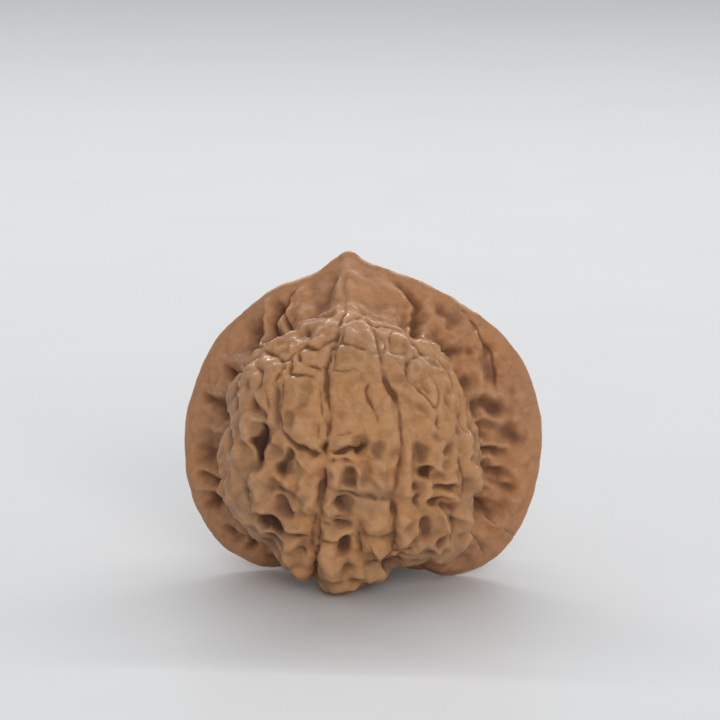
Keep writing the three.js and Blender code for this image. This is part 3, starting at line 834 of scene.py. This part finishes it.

# %% [markdown]
# ## The colour and the gloss
# A shell that has been handled for months is bright tan on the crests and red-brown in the hollows, with
# nearly black dirt in the deepest pits. These colours are partly painted light and shade too: painted
# shade darkens the hollows, the cracks and the pits, painted light brightens the crests, and a painted
# highlight runs along the seam. The flange is rosier than the belly, and no two patches have quite the
# same tan. One node group, the mottle, makes that unevenness for any material: soft patches, a fine grain
# and fine veins, at whatever size it is asked for. Each colour is then laid over the last by a share, as a
# painter glazes.

# %% Node helpers


def put(tree, kind, **settings):
    """Adds a node of this kind to the tree and sets its properties."""
    node = tree.nodes.new(kind)
    for key, value in settings.items():
        setattr(node, key, value)
    return node


def feed(tree, socket, value):
    """Links an output to the socket, or sets the socket to a constant."""
    if isinstance(value, bpy.types.NodeSocket):
        tree.links.new(value, socket)
    else:
        socket.default_value = value


def remap(tree, value, start, end, to_start=0.0, to_end=1.0):
    """The value's share of the way from start to end, laid out between two other numbers and held there."""
    node = put(tree, "ShaderNodeMapRange")
    for socket, number in zip(node.inputs, (value, start, end, to_start, to_end)):
        feed(tree, socket, number)
    return node.outputs["Result"]


def blend(tree, share, base, over):
    """One colour over another, by a share from 0 to 1."""
    node = put(tree, "ShaderNodeMix", data_type="RGBA")
    for socket, value in zip((node.inputs[0], node.inputs[6], node.inputs[7]), (share, base, over)):
        feed(tree, socket, value)
    return node.outputs[2]


def make_mottle():
    """A group that puts out three values from 0 to 1: soft patches, grain an eighth as big, and fine veins
    that run between cells of the patches' size."""
    group = bpy.data.node_groups.new("mottle", "ShaderNodeTree")
    group.interface.new_socket("Place", in_out="INPUT", socket_type="NodeSocketVector")
    group.interface.new_socket("Per Metre", in_out="INPUT", socket_type="NodeSocketFloat")
    group.interface.new_socket("Patches", in_out="OUTPUT", socket_type="NodeSocketFloat")
    group.interface.new_socket("Grain", in_out="OUTPUT", socket_type="NodeSocketFloat")
    group.interface.new_socket("Veins", in_out="OUTPUT", socket_type="NodeSocketFloat")
    given, result = put(group, "NodeGroupInput"), put(group, "NodeGroupOutput")
    finer = put(group, "ShaderNodeMath", operation="MULTIPLY")
    feed(group, finer.inputs[0], given.outputs["Per Metre"])
    feed(group, finer.inputs[1], 8.0)
    for name, scale in (("Patches", given.outputs["Per Metre"]), ("Grain", finer.outputs[0])):
        noise = put(group, "ShaderNodeTexNoise")
        feed(group, noise.inputs["Vector"], given.outputs["Place"])
        feed(group, noise.inputs["Scale"], scale)
        feed(group, noise.inputs["Detail"], 3.0)
        feed(group, result.inputs[name], remap(group, noise.outputs[0], 0.3, 0.7))
    bend = put(group, "ShaderNodeTexNoise")
    feed(group, bend.inputs["Vector"], given.outputs["Place"])
    feed(group, bend.inputs["Scale"], given.outputs["Per Metre"])
    bent = put(group, "ShaderNodeVectorMath", operation="MULTIPLY_ADD")
    feed(group, bent.inputs[0], bend.outputs["Color"])
    feed(group, bent.inputs[1], (0.004, 0.004, 0.004))
    feed(group, bent.inputs[2], given.outputs["Place"])
    cells = put(group, "ShaderNodeTexVoronoi", feature="DISTANCE_TO_EDGE")
    feed(group, cells.inputs["Vector"], bent.outputs[0])
    feed(group, cells.inputs["Scale"], given.outputs["Per Metre"])
    feed(group, result.inputs["Veins"], remap(group, cells.outputs["Distance"], 0.0, 0.08, 1.0, 0.0))
    return group


mottle = make_mottle()


def new_material(name):
    """A material with its tree, its shader and the object's own coordinates."""
    material = bpy.data.materials.new(name)
    material.use_nodes = True
    tree = material.node_tree
    return material, tree, tree.nodes["Principled BSDF"], put(tree, "ShaderNodeTexCoord").outputs["Object"]


def add_mottle(tree, place, per_metre):
    """The mottle's patches, grain and veins at a place, with so many patches to the metre."""
    node = put(tree, "ShaderNodeGroup", node_tree=mottle)
    feed(tree, node.inputs["Place"], place)
    feed(tree, node.inputs["Per Metre"], per_metre)
    return node.outputs["Patches"], node.outputs["Grain"], node.outputs["Veins"]


print("the mottle group puts out", [socket.name for socket in mottle.interface.items_tree][2:])

# %% The nutshell
TAN = (0.435, 0.222, 0.096, 1)
# CREST is the pale tan of the crests: partly real wear, partly painted light
CREST = (0.52, 0.265, 0.120, 1)
HONEY = (0.41, 0.178, 0.062, 1)
DUSTY = (0.31, 0.178, 0.102, 1)
ROSY = (0.37, 0.165, 0.082, 1)
OLIVE = (0.22, 0.125, 0.056, 1)
RED_BROWN = (0.140, 0.064, 0.034, 1)
# the seam line's pale tan: partly wear, partly a painted highlight
RUBBED_AND_HIGHLIT = (0.78, 0.60, 0.42, 1)
# the pits' near-black: partly dirt, partly painted shade
PIT_STAIN_AND_SHADE = (0.045, 0.020, 0.011, 1)

nutshell, tree, shader, place = new_material("nutshell")
hollow_close, hollow_wide, pit, line, dimple, flange, seam_wear_and_highlight, polish = (
    put(tree, "ShaderNodeAttribute", attribute_name=name).outputs["Fac"]
    for name in (
        "hollow_close", "hollow_wide", "pit", "crack_line", "dimple", "flange", "worn_and_highlit_seam", "polish",
    )
)
big_patches, _, _ = add_mottle(tree, place, 110.0)
_, blots, _ = add_mottle(tree, place, 75.0)
patches, grain, veins = add_mottle(tree, place, 300.0)
_, pores, _ = add_mottle(tree, place, 500.0)

# Each line lays one more colour over the last: the patches first, then the hollows' patina and painted
# shade, the crests' painted light, the cracks' lines, the pits' dirt and painted shade, and the seam's wear
# and painted highlight.
colour = blend(tree, remap(tree, patches, 0.2, 0.9, 0.0, 0.8), TAN, HONEY)
colour = blend(tree, remap(tree, big_patches, 0.4, 1.0, 0.0, 0.7), colour, DUSTY)
colour = blend(tree, remap(tree, dimple, 0.0, 1.0, 0.0, 0.45), colour, OLIVE)
colour = blend(tree, remap(tree, blots, 0.55, 1.0, 0.0, 0.40), colour, OLIVE)
colour = blend(tree, remap(tree, flange, 0.0, 1.0, 0.0, 0.45), colour, ROSY)
# The hollows darken towards red-brown: partly the patina of old oil and stain, partly painted shade
colour = blend(tree, remap(tree, hollow_wide, 0.0, 0.5, 0.0, 0.85), colour, RED_BROWN)
colour = blend(tree, remap(tree, hollow_close, 0.0, 0.8, 0.0, 0.75), colour, RED_BROWN)
# The crests turn paler: partly real wear, partly painted light on the tops of the bumps
colour = blend(tree, remap(tree, hollow_close, -0.4, -0.05, 0.55, 0.0), colour, CREST)
colour = blend(tree, remap(tree, grain, 0.5, 1.0, 0.0, 0.10), colour, RED_BROWN)
colour = blend(tree, remap(tree, veins, 0.0, 1.0, 0.0, 0.17), colour, RED_BROWN)
# The dark lines of the cracks and furrows: partly dirt, partly painted shade in the creases
colour = blend(tree, remap(tree, line, 0.15, 0.8, 0.0, 0.72), colour, RED_BROWN)
# The pits darken nearly to black: partly dirt, partly painted shade in their depths
colour = blend(tree, remap(tree, pit, 0.60, 1.0, 0.0, 0.85), colour, PIT_STAIN_AND_SHADE)
# The seam's pale line: partly wear, partly a painted highlight
colour = blend(tree, remap(tree, seam_wear_and_highlight, 0.3, 1.0, 0.0, 0.5), colour, RUBBED_AND_HIGHLIT)
feed(tree, shader.inputs["Base Color"], colour)
feed(tree, shader.inputs["Roughness"], remap(tree, hollow_wide, -0.3, 0.3, 0.52, 0.65))
feed(tree, shader.inputs["Coat Weight"], remap(tree, polish, 0.0, 1.0, 0.02, 0.75))
feed(tree, shader.inputs["Coat Roughness"], 0.16)
feed(tree, shader.inputs["Specular IOR Level"], 0.30)
bump = put(tree, "ShaderNodeBump")
feed(tree, bump.inputs["Strength"], 0.3)
feed(tree, bump.inputs["Distance"], 0.0001)
feed(tree, bump.inputs["Height"], pores)
feed(tree, shader.inputs["Normal"], bump.outputs[0])
shell.data.materials.append(nutshell)
print(f"{nutshell.name} has {len(tree.nodes)} nodes")

# %% [markdown]
# ## The floor and the light
# The nut stands on a plain pale floor. A long thin lamp hangs behind and above it, and draws bright lines
# along the seam and the upper edges of the plates. A soft lamp in front and a little to the right models
# the bumps. It is hidden from reflections, because a second set of highlights would make the shell look
# wet. The room itself is bright, so that the shadows stay pale.

# %% The floor
FLOOR_HALF = 3.0  # metres

floor_mesh = bpy.data.meshes.new("floor")
corners = [(-FLOOR_HALF, -FLOOR_HALF, 0), (FLOOR_HALF, -FLOOR_HALF, 0), (FLOOR_HALF, FLOOR_HALF, 0)]
corners.append((-FLOOR_HALF, FLOOR_HALF, 0))
floor_mesh.from_pydata(corners, [], [(0, 1, 2, 3)])
floor = bpy.data.objects.new("floor", floor_mesh)
bpy.context.scene.collection.objects.link(floor)

pale, tree, shader, place = new_material("pale_floor")
patches, _, _ = add_mottle(tree, place, 30.0)
floor_colour = blend(tree, patches, (0.655, 0.665, 0.67, 1), (0.675, 0.68, 0.685, 1))
feed(tree, shader.inputs["Base Color"], floor_colour)
feed(tree, shader.inputs["Roughness"], 0.4)
floor_mesh.materials.append(pale)
print(f"the floor is {2 * FLOOR_HALF:.0f} m square")

# %% The light


def soft_lamp(name, place, width, height, power):
    """An oblong lamp, its sides in metres and its power in watts, turned to the nut's middle."""
    data = bpy.data.lights.new(name, "AREA")
    data.shape = "RECTANGLE"
    data.size = width
    data.size_y = height
    data.energy = power
    lamp = bpy.data.objects.new(name, data)
    lamp.location = place
    lamp.rotation_euler = (Vector((0, 0, 0.02)) - Vector(place)).to_track_quat("-Z", "Y").to_euler()
    bpy.context.scene.collection.objects.link(lamp)
    return lamp


strip = soft_lamp("strip_behind", (0.0, 0.40, 0.50), 1.2, 0.015, 3.3)
front = soft_lamp("front_right", (0.35, -1.05, 0.52), 0.7, 0.5, 7.6)
front.visible_glossy = False
room = bpy.data.worlds.new("bright_room")
bpy.context.scene.world = room
room.use_nodes = True
room.node_tree.nodes["Background"].inputs["Color"].default_value = (0.97, 0.98, 1.0, 1)
room.node_tree.nodes["Background"].inputs["Strength"].default_value = 0.49
bpy.context.scene.view_settings.view_transform = "Standard"
print("lamps:", strip.name, front.name)
